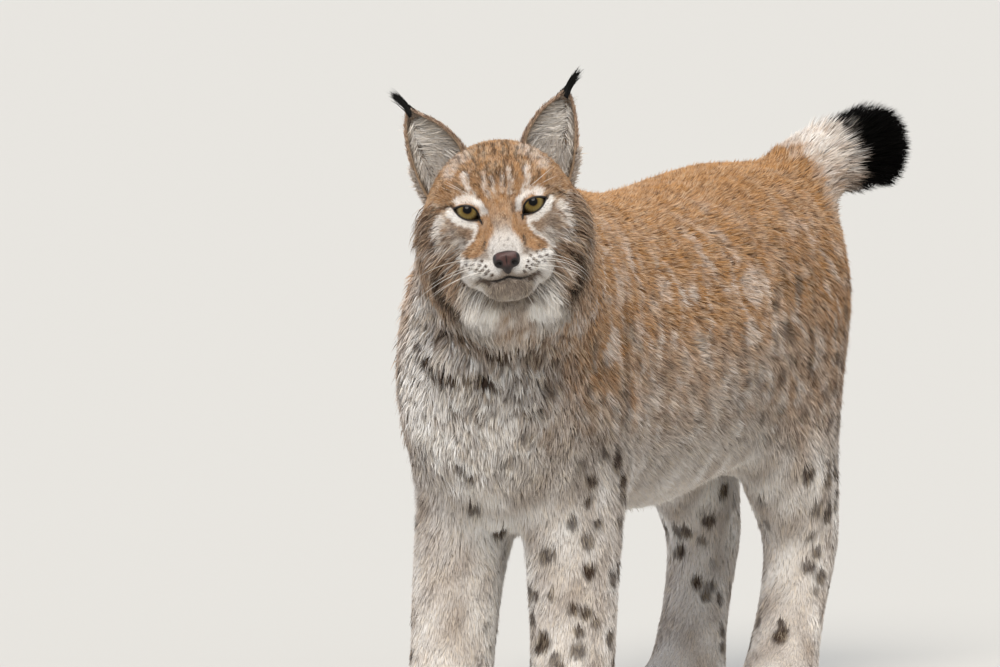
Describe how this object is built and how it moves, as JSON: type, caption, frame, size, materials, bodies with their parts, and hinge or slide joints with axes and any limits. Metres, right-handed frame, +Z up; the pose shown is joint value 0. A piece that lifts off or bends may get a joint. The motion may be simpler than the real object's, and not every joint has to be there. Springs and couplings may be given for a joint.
{
  "type": "eurasian lynx",
  "caption": "Life-size standing lynx in its winter coat, with its head turned, tufted ears, a cheek ruff and a short raised tail.",
  "frame": {"origin": "middle of the whole animal's box, on the ground under its paws", "axes": "+Z up, the animal faces -Y, and +X is its left side"},
  "size_m": [0.2892, 1.0226, 0.7296],
  "materials": {
    "back_coat": "thick russet winter fur",
    "throat_coat": "long grey-white fur",
    "face_coat": "short tawny and white fur",
    "ear_coat": "short fur with long pale hairs inside the cup",
    "leg_coat": "dense pale fur with dark spots",
    "black_coat": "dense black fur",
    "nose_skin": "bare pebbled skin, slightly moist",
    "eye": "wet, clear and glossy"
  },
  "bodies": {
    "root": {"ear_left": "ear_coat", "ear_right": "ear_coat", "eye_left": "eye", "eye_right": "eye", "foreleg_left": "leg_coat", "foreleg_right": "leg_coat", "forepaw_left": "leg_coat", "forepaw_right": "leg_coat", "head": "face_coat", "hindleg_left": "leg_coat", "hindleg_right": "leg_coat", "hindpaw_left": "leg_coat", "hindpaw_right": "leg_coat", "neck": "throat_coat", "nose": "nose_skin", "tail_base": "back_coat", "tail_brush": "black_coat", "torso": "back_coat"}
  },
  "joints": []
}
